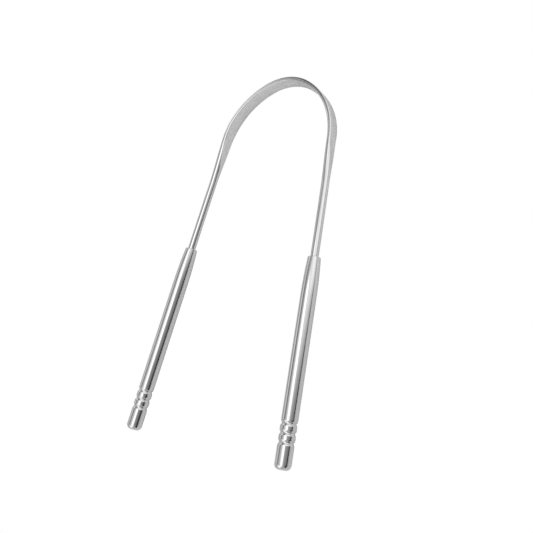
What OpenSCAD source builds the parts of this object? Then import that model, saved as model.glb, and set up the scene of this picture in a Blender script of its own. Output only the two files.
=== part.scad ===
/* [Scraping bow] */
// Diameter of the round spring wire that the bow is made of
wire_d = 3.0; // [2.4:0.1:3.6]
// Width of the strip where the wire is rolled flat for the tongue
blade_w = 5.8; // [4.6:0.1:9]
// Thickness of the flattened strip
blade_t = 1.5; // [0.9:0.05:2.1]
// Radius of the small corners between the rolled flats and the round edges
corner_r = 0.25; // [0.1:0.05:0.4]
// Length of the full-width strip on each side of the crown
blade_half_len = 30; // [10:1:36]
// Length over which each leg narrows from the strip to the wire
taper_len = 28; // [18:1:46]
// Length of the strip that keeps its thickness, on each side of the crown
flat_half_len = 38; // [12:1:42]
// Length over which each leg thickens from the strip to the wire
flat_ramp = 16; // [8:1:40]

/* [Bend of the bow] */
// Centreline radius of the crown
crown_r = 19.4; // [14:0.2:26]
// Angle that the crown turns through on each side of the middle
crown_turn = 27; // [15:1:40]
// Centreline radius of the flanks, between the crown and the legs
flank_r = 29.2; // [22:0.2:36]
// Outward lean of the legs where the flanks end
leg_lean = 5.2; // [2:0.1:10]
// Small spring set that draws each leg back in along its length
leg_set = 0.9; // [0.2:0.1:2]
// Length of each leg from the flank to the mouth of its handle
leg_len = 47.2; // [34:0.2:70]

/* [Handles] */
// Outside diameter of the handle tube
handle_d = 5.8; // [5.2:0.1:7.2]
// Length of a handle from its mouth to its closed end
handle_len = 73.4; // [60:0.2:100]
// Wall of the handle tube
wall = 0.8; // [0.5:0.05:0.95]
// Length over which the tube is necked down towards its mouth
neck_len = 14.5; // [12:0.5:20]
// Radius of the rounded edge at the mouth
mouth_round = 0.3; // [0.1:0.05:0.5]
// Radius of the rounded edge at the closed end
end_round = 1.8; // [1:0.05:2.2]

/* [Fit of wire and handle] */
// Length of wire held inside each handle
insert_len = 12; // [9:0.5:16]
// Length of the narrow bore that grips the wire
grip_len = 8; // [4:0.5:8.5]
// Clearance all round the wire in the narrow bore
fit_gap = 0.05; // [0.02:0.01:0.1]

/* [Grip grooves] */
// Number of rolled grooves near the closed end of each handle
groove_count = 3; // [1:1:5]
// Distance between neighbouring grooves
groove_pitch = 3.15; // [2.6:0.05:4]
// Distance from the closed end to the nearest groove
groove_end_gap = 8.8; // [5:0.1:14]
// Depth of a groove
groove_depth = 0.4; // [0.2:0.05:0.6]
// Radius of the bottom of a groove
groove_r = 0.6; // [0.6:0.05:0.8]
// Radius of the shoulders on both sides of a groove
shoulder_r = 1.0; // [0.6:0.05:1.2]

/* [Hidden] */

// Facets of a full circle, and of the very large circle that draws the neck
ROUND_FN = 96;
NECK_FN = 1440;
// Steps along half of the crown, a flank and a leg, and round one edge of the strip
CROWN_STEPS = 8;
FLANK_STEPS = 24;
LEG_STEPS = 26;
EDGE_STEPS = 10;
// Largest angle of a round edge from its middle to a corner, reached on the wire
EDGE_MOST = 84;

wire_r = wire_d / 2;
handle_r = handle_d / 2;
// Overrun of every cut past the face it opens
cut_over = wall;

// Turn and length of each stretch of the centreline, from the middle of the crown outwards
flank_turn = 90 - leg_lean - crown_turn;
TURNS = [crown_turn, flank_turn, leg_set, 0];
LENGTHS = [arc_len(crown_r, crown_turn), arc_len(flank_r, flank_turn), leg_len, insert_len];
handle_lean = leg_lean - leg_set;

// Radius of the long arc that draws the neck, tangent to the tube
mouth_r = wire_r + fit_gap + wall;
neck_drop = handle_r - mouth_r;
neck_arc_r = (neck_len * neck_len + neck_drop * neck_drop) / (2 * neck_drop);
neck_centre = [handle_r - neck_arc_r, neck_len];
// Centre of the rounding at the mouth, inside the same arc
round_centre = [
    neck_centre[0] + sqrt(pow(neck_arc_r - mouth_round, 2) - pow(neck_len - mouth_round, 2)),
    mouth_round];

// Centre of a groove's round bottom, outside the tube, and half of the groove's width
groove_out = groove_r - groove_depth;
groove_half_w = sqrt(pow(groove_r + shoulder_r, 2) - pow(groove_out + shoulder_r, 2));

// The mouth of the right handle and the lowest point of its end, measured from the crown
mouth_at = run_end(2);
end_reach = (handle_len - end_round) * cos(handle_lean)
    + (handle_r - end_round) * sin(handle_lean) + end_round;
top_y = blade_t / 2;
bottom_y = mouth_at[1] - end_reach;

// The part lies flat, with the middle of its outline over the origin
rest_z = max(blade_w, handle_d) / 2;
part_shift = [0, -(top_y + bottom_y) / 2, rest_z];

function arc_len(r, turn) = r * turn * PI / 180;

// Chord of an arc of given length as a share of that length
function chord_share(turn) = turn == 0 ? 1 : sin(turn / 2) / (turn * PI / 360);

// Sum of the first n entries of a list
function sum_of(list, n) = n <= 0 ? 0 : list[n - 1] + sum_of(list, n - 1);

// Point reached after a share of stretch k, whose heading turns down from +X
function step_from(from, k, share) = let (
    turn = TURNS[k] * share,
    heading = sum_of(TURNS, k) + turn / 2,
    chord = LENGTHS[k] * share * chord_share(turn))
    from + chord * [cos(heading), -sin(heading)];

// End of stretch k, with the middle of the crown at zero
function run_end(k) = k < 0 ? [0, 0] : step_from(run_end(k - 1), k, 1);

// One ring's place: point on the centreline, heading and distance from the crown
function ring_at(k, share) = [
    step_from(run_end(k - 1), k, share),
    sum_of(TURNS, k) + TURNS[k] * share,
    sum_of(LENGTHS, k) + LENGTHS[k] * share];

// Smooth change from 0 to 1
function ease(t) = let (u = max(0, min(1, t))) u * u * (3 - 2 * u);

// Width and thickness of the strip at a distance from the crown
function strip_w(s) = blade_w + (wire_d - blade_w) * ease((s - blade_half_len) / taper_len);
function strip_t(s) = min(
    strip_w(s), blade_t + (wire_d - blade_t) * ease((s - flat_half_len) / flat_ramp));

// Angles of the points of one edge from its middle: corner, round edge, corner
function edge_angles(turn) = concat(
    [90, (90 + turn) / 2],
    [for (i = [0 : EDGE_STEPS]) turn * (1 - 2 * i / EDGE_STEPS)],
    [-(90 + turn) / 2, -90]);

// Section of the strip as [across, up] pairs: both edges keep the wire's roundness, the sides are flat
function strip_section(w, t) = let (
    edge_at = w / 2 - wire_r,
    inner_r = wire_r - corner_r,
    corner_at = min(t / 2 - corner_r, inner_r * sin(EDGE_MOST)),
    turn = asin(corner_at / inner_r),
    corner_up = edge_at + inner_r * cos(turn)) [
    for (side = [1, -1])
        for (a = edge_angles(turn))
            side * (abs(a) <= turn
                ? [wire_r * sin(a), edge_at + wire_r * cos(a)]
                : [sign(a) * corner_at + corner_r * sin(a), corner_up + corner_r * cos(a)])];

// Section placed at a ring of the right half, or mirrored to the left half
function ring_points(ring, side) = [
    for (p = strip_section(strip_w(ring[2]), strip_t(ring[2])))
        [side * ring[0][0] + p[0] * side * sin(ring[1]), ring[0][1] + p[0] * cos(ring[1]), p[1]]];

right_rings = concat(
    [for (i = [0 : CROWN_STEPS]) ring_at(0, i / CROWN_STEPS)],
    [for (i = [1 : FLANK_STEPS]) ring_at(1, i / FLANK_STEPS)],
    [for (i = [1 : LEG_STEPS]) ring_at(2, i / LEG_STEPS)],
    [ring_at(3, 1)]);
last_ring = len(right_rings) - 1;

// Rings in order from the end of the left wire, over the crown, to the end of the right wire
bow_rings = concat(
    [for (i = [last_ring : -1 : 1]) ring_points(right_rings[i], -1)],
    [for (i = [0 : last_ring]) ring_points(right_rings[i], 1)]);

// One spring strip: blade, tapers, legs and the wire ends that sit in the handles
module bow() {
    n = len(bow_rings[0]);
    rings = len(bow_rings);
    points = [for (ring = bow_rings) each ring];
    sides = [
        for (r = [0 : rings - 2])
            for (i = [0 : n - 1])
                let (a = r * n + i, b = r * n + (i + 1) % n)
                    each [[a, b, b + n], [a, b + n, a + n]]];
    first_cap = [for (i = [1 : n - 2]) [0, i + 1, i]];
    last_cap = [for (i = [1 : n - 2]) (rings - 1) * n * [1, 1, 1] + [0, i, i + 1]];
    color("silver")
        translate(part_shift)
            polyhedron(points = points, faces = concat(sides, first_cap, last_cap));
}

// Half outline of the tube with its rounded closed end, mouth at the origin, axis along +Y
module tube_outline(r, len, round_r) {
    square([r, len - round_r]);
    square([r - round_r, len]);
    translate([r - round_r, len - round_r]) circle(round_r, $fn = ROUND_FN);
}

// Everything inside the long neck arc, and everything past the neck
module neck_limit() {
    translate(neck_centre) circle(neck_arc_r, $fn = NECK_FN);
    translate([0, neck_len]) square([handle_d, handle_len]);
}

// Corner of the mouth that its rounding takes away, tangent to the neck arc
module mouth_corner() {
    tangent = (round_centre - neck_centre) / (neck_arc_r - mouth_round);
    outside = round_centre + (mouth_round + cut_over) * tangent;
    difference() {
        polygon([round_centre, outside, [outside[0], -cut_over], [round_centre[0], -cut_over]]);
        translate(round_centre) circle(mouth_round, $fn = ROUND_FN);
    }
}

// Metal that one groove takes away, with its round bottom and shoulders
module groove_cut(at) {
    bottom = [handle_r + groove_out, at];
    difference() {
        polygon([
            [handle_r + cut_over, at + groove_half_w],
            [handle_r - shoulder_r, at + groove_half_w],
            bottom,
            [handle_r - shoulder_r, at - groove_half_w],
            [handle_r + cut_over, at - groove_half_w]]);
        for (side = [1, -1])
            translate([handle_r - shoulder_r, at + side * groove_half_w])
                circle(shoulder_r, $fn = ROUND_FN);
    }
    translate(bottom) circle(groove_r, $fn = ROUND_FN);
}

// Positions of the grooves, measured from the mouth
groove_places = [for (i = [0 : groove_count - 1]) handle_len - groove_end_gap - i * groove_pitch];

// The hollow: a narrow bore that grips the wire, opening into the bore of the tube
module hollow_outline() {
    bore_r = handle_r - wall;
    grip_r = wire_r + fit_gap;
    translate([0, -cut_over]) square([grip_r, cut_over + grip_len + fit_gap]);
    difference() {
        union() {
            polygon([[0, grip_len], [grip_r, grip_len], [bore_r, neck_len], [0, neck_len]]);
            translate([0, neck_len])
                tube_outline(bore_r, handle_len - wall - neck_len, end_round - wall);
        }
        for (at = groove_places)
            translate([handle_r + groove_out, at]) circle(groove_r + wall, $fn = ROUND_FN);
    }
}

// A handle on its own axis, with its mouth at the origin
module handle() {
    rotate_extrude($fn = ROUND_FN)
        difference() {
            intersection() {
                tube_outline(handle_r, handle_len, end_round);
                neck_limit();
            }
            mouth_corner();
            for (at = groove_places) groove_cut(at);
            hollow_outline();
        }
}

// A handle laid along the end of its leg
module placed_handle(side) {
    translate(part_shift)
        translate([side * mouth_at[0], mouth_at[1], 0])
            rotate([0, 0, side * handle_lean])
                rotate([90, 0, 0])
                    handle();
}

module left_handle() {
    color("gainsboro") placed_handle(-1);
}

module right_handle() {
    color("gainsboro") placed_handle(1);
}

bow();
left_handle();
right_handle();
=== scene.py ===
"""A tongue scraper of stainless steel: the finish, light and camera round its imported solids."""

import math

import bpy
from mathutils import Matrix, Vector


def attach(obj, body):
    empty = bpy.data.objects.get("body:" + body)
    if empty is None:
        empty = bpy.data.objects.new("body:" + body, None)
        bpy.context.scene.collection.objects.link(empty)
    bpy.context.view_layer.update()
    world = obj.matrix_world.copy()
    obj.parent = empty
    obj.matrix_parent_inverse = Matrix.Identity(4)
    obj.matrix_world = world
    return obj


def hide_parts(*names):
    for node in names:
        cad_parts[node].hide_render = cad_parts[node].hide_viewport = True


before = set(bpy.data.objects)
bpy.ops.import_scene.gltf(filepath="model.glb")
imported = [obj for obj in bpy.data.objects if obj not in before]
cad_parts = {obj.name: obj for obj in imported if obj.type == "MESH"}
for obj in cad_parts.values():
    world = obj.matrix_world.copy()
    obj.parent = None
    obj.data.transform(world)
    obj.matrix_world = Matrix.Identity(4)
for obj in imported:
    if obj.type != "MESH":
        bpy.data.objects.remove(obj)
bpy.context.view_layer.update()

MM = 0.001

# The bow, in metres and degrees
WIRE_D = 3.0 * MM
BLADE_W = 5.8 * MM
BLADE_T = 1.5 * MM
CORNER_R = 0.25 * MM
BLADE_HALF_LEN = 30 * MM
TAPER_LEN = 28 * MM
FLAT_HALF_LEN = 38 * MM
FLAT_RAMP = 16 * MM
CROWN_R = 19.4 * MM
CROWN_TURN = 27
FLANK_R = 29.2 * MM
LEG_LEAN = 5.2
LEG_SET = 0.9
LEG_LEN = 47.2 * MM
INSERT_LEN = 12 * MM

# The handles, in metres
HANDLE_D = 5.8 * MM
HANDLE_LEN = 73.4 * MM
WALL = 0.8 * MM
NECK_LEN = 14.5 * MM
MOUTH_ROUND = 0.3 * MM
END_ROUND = 1.8 * MM
GRIP_LEN = 8 * MM
FIT_GAP = 0.05 * MM
GROOVE_COUNT = 3
GROOVE_PITCH = 3.15 * MM
GROOVE_END_GAP = 8.8 * MM
GROOVE_DEPTH = 0.4 * MM
GROOVE_R = 0.6 * MM
SHOULDER_R = 1.0 * MM

# Fineness of the meshes, and the widest half angle of the strip's round edge
RING_STEP = 0.4 * MM
EDGE_STEPS = 20
CORNER_STEPS = 4
FLAT_STEPS = 8
EDGE_MOST = math.radians(84)
ROUND_POINTS = 128
ARC_POINTS = 9
NECK_POINTS = 24
PLAIN_STEP = 2.0 * MM
MOUTH_RING = 0.5 * MM
TINY = 1e-9

# The camera, in the frame of the part, with the photograph's side and its focal length in pixels
PHOTO_SIDE = 533
FOCAL_PX = 694.5
SENSOR = 36.0
CAMERA_AT = Vector((153.59, -60.90, 206.75)) * MM
CAMERA_AIM = Vector((9.24, -4.70, 2.9)) * MM
CAMERA_ROLL = 59.5
NEAR_CLIP = 10 * MM

# The studio by direction from the part: azimuth, elevation, half width, half height, softness, brightness;
# angles in degrees in steps of 5, azimuth from +X towards +Y, a later panel in front of an earlier one
ROOM_LEVEL = 0.8
PANELS = (
    (-35, 85, 20, 25, 0.1, 3.0),  # soft light overhead
    (50, 40, 45, 25, 0.6, 2.0),  # wide pale wall beyond the right flank
    (120, 40, 55, 10, 0.5, 2.0),  # long light beyond the crown
    (-110, 60, 20, 40, 0.9, 3.0),  # tall soft light beyond the handles
    (130, 40, 25, 15, 0.6, 0.0),  # black card before the long light
    (-5, 25, 20, 40, 0.5, 0.5),  # grey card on the camera's side
    (-20, 15, 20, 15, 0.9, 0.1),  # dark room below the camera
    (-20, 5, 40, 10, 0.2, 0.0),  # black card along the table's near edge
    (205, 65, 25, 20, 0.8, 1.0),  # pale card high on the far side
    (170, 45, 20, 10, 0.5, 0.4),  # grey card on the far side
    (150, 20, 10, 10, 0.6, 1.5),  # small low light on the far side
    (145, 30, 10, 15, 0.3, 2.0),  # narrow light above it
)
FLOOR_HALF = 3.0
FLOOR_ALBEDO = 0.75
FLOOR_ROUGHNESS = 0.2
FLOOR_GLOW = 0.15

# The finishes: fineness of each pattern per metre along its axes, and its noise detail
TUBE_LINES = ((6000, 6000, 120), 3)
TUBE_HAZE = ((240, 240, 70), 3)
TUBE_SCRATCHES = ((2600, 900, 400), 2)
STRIP_LINES = ((90, 4200, 4200), 2)
STRIP_STREAKS = ((60, 900, 900), 3)
STRIP_PATCHES = ((130, 350, 350), 3)
STRIP_FLECKS = ((280, 1000, 1000), 2)

# The finishes: where a pattern starts and is full, and where a face counts as rolled flat
SCRATCH_BAND = (0.69, 0.73)
MOTTLE_BAND = (0.35, 0.65)
FLECK_BAND = (0.56, 0.68)
FLAT_BAND = (0.6, 0.95)
# Painted shade and extra roughness in the groove bottoms: the depth below the surface where it ends, and
# the run past the neck over which it begins
GROOVE_SHADE_EDGE = 0.1 * MM
GROOVE_SHADE_RUN = 1.0 * MM

# The finishes: reflectance of the steel, base value and weight of each pattern, and depth of the relief
STEEL = 0.43
STEEL_EDGE = (0.82, 0.82, 0.82, 1)
TUBE_ROUGHNESS = {"base": 0.06, "haze": 0.08, "lines": 0.05, "scratch": 0.08, "residue": 0.05}
# The groove-bottom weight of TUBE_SHADE is painted shade that darkens the grooves
TUBE_SHADE = {"base": 0.97, "lines": 0.06, "scratch": -0.03, "residue": -0.03}
TUBE_RELIEF = 0.004 * MM
BRUSHED = {"base": 0.0, "lines": 0.3, "streaks": 0.7}
STRIP_ROUGHNESS = {"base": 0.02, "rolled": 0.12, "flat": 0.10, "brushed": 0.05, "patches": 0.05}
STRIP_GRAIN = {"base": -0.11, "brushed": 0.14, "patches": 0.10, "flecks": -0.13}
GRAIN_SHARE = {"base": 0.2, "flat": 0.8}
# Its flat weight is painted reflection: it makes the rolled flat faces lighter than the round edges
STRIP_LEVEL_AND_PAINTED_REFLECTION = {"base": 1.0, "flat": 0.13}
STRIP_RELIEF = 0.002 * MM


class Centreline:
    """The bow's centreline in the part's frame: crown arc, flank arc, leg and straight end."""

    def __init__(self):
        flank_turn = 90 - LEG_LEAN - CROWN_TURN
        self.turns = [math.radians(a) for a in (CROWN_TURN, flank_turn, LEG_SET, 0)]
        self.lengths = [CROWN_R * self.turns[0], FLANK_R * self.turns[1], LEG_LEN, INSERT_LEN]
        self.starts = [(0.0, 0.0, 0.0)]
        for k, length in enumerate(self.lengths):
            self.starts.append(self.along(k, length))
        self.half = sum(self.lengths[:-1])
        self.leg_end = self.starts[-2]
        self.lean = math.radians(LEG_LEAN - LEG_SET)
        end = (HANDLE_LEN - END_ROUND) * math.cos(self.lean) + END_ROUND
        end += (HANDLE_D / 2 - END_ROUND) * math.sin(self.lean)
        low = self.leg_end[1] - end
        self.lift = Vector((0, -(BLADE_T / 2 + low) / 2, max(BLADE_W, HANDLE_D) / 2))

    def along(self, k, length):
        """Point and heading after a length of stretch k, with the crown's middle at zero."""
        x, y, heading = self.starts[k]
        turn = self.turns[k] * length / self.lengths[k]
        half = turn / 2
        chord = length * (math.sin(half) / half if half else 1)
        return x + chord * math.cos(heading + half), y - chord * math.sin(heading + half), heading + turn

    def at(self, s):
        """Point in the part's frame and outward normal at a signed distance from the crown's middle."""
        side = -1 if s < 0 else 1
        left = abs(s)
        k = 0
        while k < len(self.lengths) - 1 and left > self.lengths[k]:
            left -= self.lengths[k]
            k += 1
        x, y, heading = self.along(k, left)
        point = Vector((side * x, y, 0)) + self.lift
        return point, Vector((side * math.sin(heading), math.cos(heading), 0))

    def mouth(self, side):
        """Placement of a handle: its own +Z runs from the mouth to the closed end."""
        x, y, _ = self.leg_end
        point = Vector((side * x, y, 0)) + self.lift
        turn = Matrix.Rotation(side * self.lean, 4, "Z") @ Matrix.Rotation(math.pi / 2, 4, "X")
        return Matrix.Translation(point) @ turn


LINE = Centreline()


def ease(t):
    """Smooth change from 0 to 1."""
    u = max(0.0, min(1.0, t))
    return u * u * (3 - 2 * u)


def strip_size(s):
    """Width and thickness of the strip at a distance from the crown."""
    width = BLADE_W + (WIRE_D - BLADE_W) * ease((abs(s) - BLADE_HALF_LEN) / TAPER_LEN)
    thick = BLADE_T + (WIRE_D - BLADE_T) * ease((abs(s) - FLAT_HALF_LEN) / FLAT_RAMP)
    return width, min(width, thick)


def strip_section(width, thick):
    """Points (across, up) and outward normals round the strip: round edges, corners and flats."""
    radius = WIRE_D / 2
    edge_at = width / 2 - radius
    inner = radius - CORNER_R
    corner_at = min(thick / 2 - CORNER_R, inner * math.sin(EDGE_MOST))
    turn = math.asin(corner_at / inner)
    corner_up = edge_at + inner * math.cos(turn)
    corner = [math.pi / 2 + (turn - math.pi / 2) * i / CORNER_STEPS for i in range(CORNER_STEPS)]
    edge = [turn - 2 * turn * i / EDGE_STEPS for i in range(EDGE_STEPS + 1)]
    angles = corner + edge + [-a for a in reversed(corner)]
    points = []
    for side in (1, -1):
        for a in angles:
            c, d = math.sin(a), math.cos(a)
            if abs(a) <= turn + TINY:
                x, z = radius * c, edge_at + radius * d
            else:
                x, z = math.copysign(corner_at, a) + CORNER_R * c, corner_up + CORNER_R * d
            points.append((side * x, side * z, side * c, side * d))
        for i in range(1, FLAT_STEPS):
            z = corner_up * (1 - 2 * i / FLAT_STEPS)
            points.append((-side * (corner_at + CORNER_R), side * z, -side, 0.0))
    return points


def new_object(name, verts, faces, normals=None):
    """A smooth-shaded mesh object in the scene, with exact normals where they are given."""
    mesh = bpy.data.meshes.new(name)
    mesh.from_pydata([tuple(v) for v in verts], [], faces)
    mesh.shade_smooth()
    if normals:
        mesh.normals_split_custom_set_from_vertices([tuple(n) for n in normals])
    obj = bpy.data.objects.new(name, mesh)
    bpy.context.scene.collection.objects.link(obj)
    return obj


def make_bow():
    """The spring strip swept along the centreline, from the end of one wire to the other."""
    reach = LINE.half + INSERT_LEN
    count = int(round(2 * reach / RING_STEP))
    rings, brush, rolled, side = [], [], [], []
    for r in range(count + 1):
        s = -reach + 2 * reach * r / count
        point, normal = LINE.at(s)
        width, thick = strip_size(s)
        ring = []
        for x, z, c, d in strip_section(width, thick):
            ring.append((point + x * normal + Vector((0, 0, z)), c * normal + Vector((0, 0, d))))
            brush += [s, x, z]
            rolled.append((WIRE_D - thick) / (WIRE_D - BLADE_T))
            side.append(abs(c))
        rings.append(ring)
    n = len(rings[0])
    verts = [place for ring in rings for place, _ in ring]
    normals = []
    for r, ring in enumerate(rings):
        before, after = rings[max(r - 1, 0)], rings[min(r + 1, count)]
        for i, (_, out) in enumerate(ring):
            along = (after[i][0] - before[i][0]).normalized()
            normals.append((out - out.dot(along) * along).normalized())
    faces = []
    for r in range(count):
        for i in range(n):
            j = (i + 1) % n
            a, b = r * n + i, r * n + j
            faces.append((a, b, b + n, a + n))
    faces.append(tuple(reversed(range(n))))
    faces.append(tuple(count * n + i for i in range(n)))
    obj = new_object("spring_bow", verts, faces, normals)
    attributes = obj.data.attributes
    attributes.new("brush", "FLOAT_VECTOR", "POINT").data.foreach_set("vector", brush)
    attributes.new("rolled", "FLOAT", "POINT").data.foreach_set("value", rolled)
    attributes.new("side", "FLOAT", "POINT").data.foreach_set("value", side)
    return obj


def arc(centre, radius, start, end, count, hollow=False):
    """Points of an arc as (radius from the axis, distance along it) with normals, angles in radians."""
    steps = [start + (end - start) * i / (count - 1) for i in range(count)]
    sign = -1 if hollow else 1
    points = []
    for a in steps:
        c, d = math.cos(a), math.sin(a)
        points.append((centre[0] + radius * c, centre[1] + radius * d, sign * c, sign * d))
    return points


def groove_places():
    """Distances of the grooves from the mouth, nearest first."""
    last = HANDLE_LEN - GROOVE_END_GAP
    return sorted(last - i * GROOVE_PITCH for i in range(GROOVE_COUNT))


def tube_run(radius, start, end):
    """Plain stretch of the tube between two features, without its end points."""
    steps = max(1, int((end - start) / PLAIN_STEP))
    return [(radius, start + (end - start) * i / steps, 1, 0) for i in range(1, steps)]


def handle_outline():
    """Half outline of a handle with normals: inner floor, bore and mouth, then outside to its end."""
    r = HANDLE_D / 2
    grip_r = WIRE_D / 2 + FIT_GAP
    mouth_r = grip_r + WALL
    drop = r - mouth_r
    neck_r = (NECK_LEN**2 + drop**2) / (2 * drop)
    neck_c = (r - neck_r, NECK_LEN)
    round_x = neck_c[0] + math.sqrt((neck_r - MOUTH_ROUND) ** 2 - (NECK_LEN - MOUTH_ROUND) ** 2)
    lean = math.atan2(MOUTH_ROUND - NECK_LEN, round_x - neck_c[0])

    bore = r - WALL
    floor = HANDLE_LEN - WALL
    inner_round = END_ROUND - WALL
    points = [(0, floor, 0, -1)]
    corner = (bore - inner_round, floor - inner_round)
    points += arc(corner, inner_round, math.pi / 2, 0, ARC_POINTS, True)
    points += [(bore, NECK_LEN, -1, 0), (grip_r, GRIP_LEN, -1, 0)]
    points += [(grip_r, MOUTH_RING, -1, 0), (grip_r, 0, -1, 0)]

    points += arc((round_x, MOUTH_ROUND), MOUTH_ROUND, -math.pi / 2, lean, ARC_POINTS)
    points += arc(neck_c, neck_r, lean, 0, NECK_POINTS)[1:]

    out = GROOVE_R - GROOVE_DEPTH
    half = math.sqrt((GROOVE_R + SHOULDER_R) ** 2 - (out + SHOULDER_R) ** 2)
    tilt = math.atan2(half, out + SHOULDER_R)
    z = NECK_LEN
    for at in groove_places():
        points += tube_run(r, z, at - half)
        points += arc((r - SHOULDER_R, at - half), SHOULDER_R, 0, tilt, ARC_POINTS)
        bottom = arc((r + out, at), GROOVE_R, math.pi + tilt, math.pi - tilt, 2 * ARC_POINTS, True)
        points += bottom[1:-1]
        points += arc((r - SHOULDER_R, at + half), SHOULDER_R, -tilt, 0, ARC_POINTS)
        z = at + half
    start = HANDLE_LEN - END_ROUND
    points += tube_run(r, z, start)
    points += arc((r - END_ROUND, start), END_ROUND, 0, math.pi / 2, 2 * ARC_POINTS)
    points += [(0, HANDLE_LEN, 0, 1)]
    return points


def make_handle(name, side):
    """One handle turned round its own axis and laid along the end of its leg."""
    outline = handle_outline()
    n = ROUND_POINTS
    verts = [(0, 0, outline[0][1])]
    normals = [(0, 0, -1)]
    for radius, z, out, along in outline[1:-1]:
        for i in range(n):
            c, d = math.cos(2 * math.pi * i / n), math.sin(2 * math.pi * i / n)
            verts.append((radius * c, radius * d, z))
            normals.append((out * c, out * d, along))
    verts.append((0, 0, outline[-1][1]))
    normals.append((0, 0, 1))
    last = len(verts) - 1
    faces = []
    rings = len(outline) - 2
    for i in range(n):
        j = (i + 1) % n
        faces.append((0, 1 + j, 1 + i))
        for k in range(rings - 1):
            a, b = 1 + k * n + i, 1 + k * n + j
            faces.append((a, b, b + n, a + n))
        base = 1 + (rings - 1) * n
        faces.append((last, base + i, base + j))
    obj = new_object(name, verts, faces, normals)
    obj.matrix_world = LINE.mouth(side)
    return obj


class Nodes:
    """Short names for adding and joining shader nodes."""

    def __init__(self, tree):
        self.tree = tree

    def add(self, kind, **settings):
        node = self.tree.nodes.new("ShaderNode" + kind)
        for key, value in settings.items():
            setattr(node, key, value)
        return node

    def put(self, socket, value):
        if isinstance(value, bpy.types.NodeSocket):
            self.tree.links.new(value, socket)
        else:
            socket.default_value = value

    def math(self, operation, *values):
        node = self.add("Math", operation=operation)
        for socket, value in zip(node.inputs, values):
            self.put(socket, value)
        return node.outputs[0]

    def dot(self, vector, other):
        node = self.add("VectorMath", operation="DOT_PRODUCT")
        self.put(node.inputs[0], vector)
        self.put(node.inputs[1], other)
        return node.outputs["Value"]

    def smooth(self, value, low, high, at_low, at_high):
        node = self.add("MapRange", interpolation_type="SMOOTHSTEP")
        for socket, item in zip(node.inputs, (value, low, high, at_low, at_high)):
            self.put(socket, item)
        return node.outputs[0]

    def scaled(self, vector, factors):
        node = self.add("VectorMath", operation="MULTIPLY")
        self.put(node.inputs[0], vector)
        self.put(node.inputs[1], factors)
        return node.outputs["Vector"]

    def noise(self, vector, factors, detail):
        node = self.add("TexNoise")
        self.put(node.inputs["Vector"], self.scaled(vector, factors))
        node.inputs["Scale"].default_value = 1
        node.inputs["Detail"].default_value = detail
        return node.outputs["Fac"]

    def attribute(self, name, output="Fac"):
        return self.add("Attribute", attribute_name=name).outputs[output]

    def sum(self, weights, **terms):
        """Base value plus each term times the weight of its name."""
        total = weights["base"]
        for name, value in terms.items():
            total = self.math("MULTIPLY_ADD", value, weights[name], total)
        return total

    def blend(self, share, first, second):
        node = self.add("Mix", data_type="FLOAT")
        for socket, item in zip(node.inputs, (share, None, first, second)):
            if item is not None:
                self.put(socket, item)
        return node.outputs[0]


def finish_steel(shader, n, roughness, shade, height, depth):
    """Joins roughness, share of the full reflectance and bump height to a steel shader."""
    n.put(shader.inputs["Roughness"], roughness)
    grey = n.add("CombineColor")
    level = n.math("MULTIPLY", shade, STEEL)
    for socket in grey.inputs:
        n.put(socket, level)
    n.put(shader.inputs["Base Color"], grey.outputs["Color"])
    bump = n.add("Bump")
    bump.inputs["Distance"].default_value = depth
    n.put(bump.inputs["Height"], height)
    n.put(shader.inputs["Normal"], bump.outputs["Normal"])


def new_steel(name):
    """An empty steel material with its shader and node helper."""
    material = bpy.data.materials.new(name)
    material.use_nodes = True
    shader = material.node_tree.nodes["Principled BSDF"]
    shader.inputs["Metallic"].default_value = 1
    shader.inputs["Specular Tint"].default_value = STEEL_EDGE
    return material, shader, Nodes(material.node_tree)


def polished_steel():
    """Polished tube: fine lines along its axis, faint haze, a few scratches, painted shade and extra
    roughness in its grooves.
    """
    material, shader, n = new_steel("tube_finish")
    place = n.add("TexCoord").outputs["Object"]
    lines = n.noise(place, *TUBE_LINES)
    haze = n.noise(place, *TUBE_HAZE)
    scratch = n.smooth(n.noise(place, *TUBE_SCRATCHES), *SCRATCH_BAND, 0.0, 1.0)
    spread = n.add("VectorMath", operation="LENGTH")
    n.put(spread.inputs[0], n.scaled(place, (1, 1, 0)))
    parts = n.add("SeparateXYZ")
    n.put(parts.inputs[0], place)
    r = HANDLE_D / 2
    # The groove bottoms past the neck, darkened by painted shade and made rougher
    sunk = n.smooth(spread.outputs["Value"], r - GROOVE_DEPTH, r - GROOVE_SHADE_EDGE, 1.0, 0.0)
    beyond_neck = n.smooth(parts.outputs["Z"], NECK_LEN, NECK_LEN + GROOVE_SHADE_RUN, 0.0, 1.0)
    residue = n.math("MULTIPLY", sunk, beyond_neck)
    roughness = n.sum(TUBE_ROUGHNESS, haze=haze, lines=lines, scratch=scratch, residue=residue)
    shade = n.sum(TUBE_SHADE, lines=lines, scratch=scratch, residue=residue)
    finish_steel(shader, n, roughness, shade, n.math("SUBTRACT", lines, scratch), TUBE_RELIEF)
    return material


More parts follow.
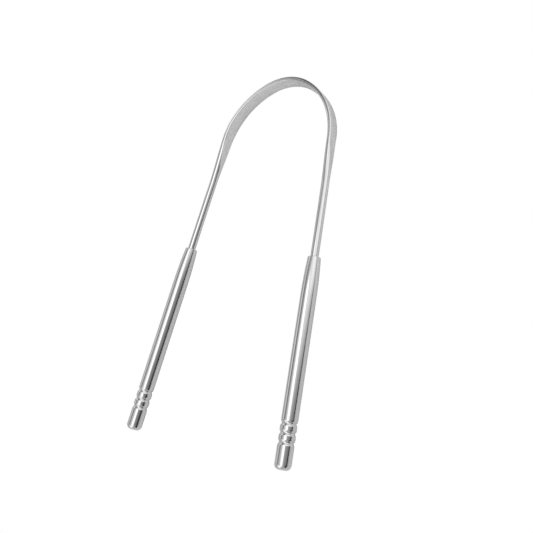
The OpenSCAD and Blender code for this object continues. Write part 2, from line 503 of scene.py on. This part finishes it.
def satin_steel():
    """Spring strip: brushed lengthwise where it is rolled, smoother and brighter where it is round wire,
    with painted reflection lightening its rolled flat faces.
    """
    material, shader, n = new_steel("strip_finish")
    place = n.attribute("brush", "Vector")
    rolled = n.attribute("rolled")
    flat = n.math("MULTIPLY", rolled, n.smooth(n.attribute("side"), *FLAT_BAND, 0.0, 1.0))
    lines = n.noise(place, *STRIP_LINES)
    streaks = n.smooth(n.noise(place, *STRIP_STREAKS), *MOTTLE_BAND, 0.0, 1.0)
    patches = n.smooth(n.noise(place, *STRIP_PATCHES), *MOTTLE_BAND, 0.0, 1.0)
    flecks = n.smooth(n.noise(place, *STRIP_FLECKS), *FLECK_BAND, 0.0, 1.0)
    brushed = n.sum(BRUSHED, lines=lines, streaks=streaks)
    roughness = n.sum(STRIP_ROUGHNESS, rolled=rolled, flat=flat, brushed=brushed, patches=patches)
    grain = n.sum(STRIP_GRAIN, brushed=brushed, patches=patches, flecks=flecks)
    # The flat weight adds painted reflection to the rolled flat faces
    shade = n.math("MULTIPLY_ADD", grain, n.sum(GRAIN_SHARE, flat=flat), n.sum(STRIP_LEVEL_AND_PAINTED_REFLECTION, flat=flat))
    finish_steel(shader, n, roughness, shade, lines, STRIP_RELIEF)
    return material


bow = make_bow()
left = make_handle("left_tube", -1)
right = make_handle("right_tube", 1)
satin, polished = satin_steel(), polished_steel()
for piece, node, slot_name, finish in (
    (bow, "bow", "satin_steel", satin),
    (left, "left_handle", "polished_steel", polished),
    (right, "right_handle", "polished_steel", polished),
):
    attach(piece, "root")
    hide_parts(node)
    piece.data.materials.append(finish)


def make_camera():
    """The photograph's viewpoint, aim, roll and lens."""
    camera = bpy.data.cameras.new("camera")
    camera.sensor_width = SENSOR
    camera.lens = SENSOR * FOCAL_PX / PHOTO_SIDE
    camera.clip_start = NEAR_CLIP
    obj = bpy.data.objects.new("camera", camera)
    bpy.context.scene.collection.objects.link(obj)
    aim = (CAMERA_AIM - CAMERA_AT).to_track_quat("-Z", "Y").to_matrix().to_4x4()
    roll = Matrix.Rotation(math.radians(-CAMERA_ROLL), 4, "Z")
    obj.matrix_world = Matrix.Translation(CAMERA_AT) @ aim @ roll
    bpy.context.scene.camera = obj


def make_floor():
    """A plain white table: even white to the camera, a smooth pale surface in the reflections."""
    corners = [(x * FLOOR_HALF, y * FLOOR_HALF, 0) for x, y in ((-1, -1), (1, -1), (1, 1), (-1, 1))]
    obj = new_object("floor", corners, [(0, 1, 2, 3)])
    material = bpy.data.materials.new("floor")
    material.use_nodes = True
    n = Nodes(material.node_tree)
    table = material.node_tree.nodes["Principled BSDF"]
    table.inputs["Base Color"].default_value = (FLOOR_ALBEDO, FLOOR_ALBEDO, FLOOR_ALBEDO, 1)
    table.inputs["Roughness"].default_value = FLOOR_ROUGHNESS
    table.inputs["Emission Color"].default_value = (1, 1, 1, 1)
    table.inputs["Emission Strength"].default_value = FLOOR_GLOW
    white = n.add("Emission")
    mix = n.add("MixShader")
    n.put(mix.inputs["Fac"], n.add("LightPath").outputs["Is Camera Ray"])
    n.put(mix.inputs[1], table.outputs["BSDF"])
    n.put(mix.inputs[2], white.outputs["Emission"])
    n.put(material.node_tree.nodes["Material Output"].inputs["Surface"], mix.outputs["Shader"])
    obj.data.materials.append(material)


def make_studio():
    """A pale room with a soft overhead light and pale and dark panels, and white to the camera itself."""
    world = bpy.data.worlds.new("studio")
    bpy.context.scene.world = world
    world.use_nodes = True
    background = world.node_tree.nodes["Background"]
    n = Nodes(world.node_tree)
    way = n.add("TexCoord").outputs["Generated"]
    level = ROOM_LEVEL
    for azimuth, elevation, half_w, half_h, soft, brightness in PANELS:
        a, e = math.radians(azimuth), math.radians(elevation)
        facing = Vector((math.cos(e) * math.cos(a), math.cos(e) * math.sin(a), math.sin(e)))
        across = Vector((-math.sin(a), math.cos(a), 0))
        up = facing.cross(across)
        ahead = n.dot(way, facing)
        side = n.math("ARCTAN2", n.dot(way, across), ahead)
        rise = n.math("ARCSINE", n.dot(way, up))
        x = n.math("DIVIDE", side, math.radians(half_w))
        y = n.math("DIVIDE", rise, math.radians(half_h))
        away = n.math("SQRT", n.math("ADD", n.math("MULTIPLY", x, x), n.math("MULTIPLY", y, y)))
        share = n.smooth(away, 1 - soft, 1 + soft, 1.0, 0.0)
        level = n.blend(share, level, brightness)
    seen = n.add("LightPath").outputs["Is Camera Ray"]
    level = n.blend(seen, level, 1.0)
    n.put(background.inputs["Strength"], level)
    background.inputs["Color"].default_value = (1, 1, 1, 1)


make_camera()
make_floor()
make_studio()
bpy.context.scene.view_settings.view_transform = "Standard"
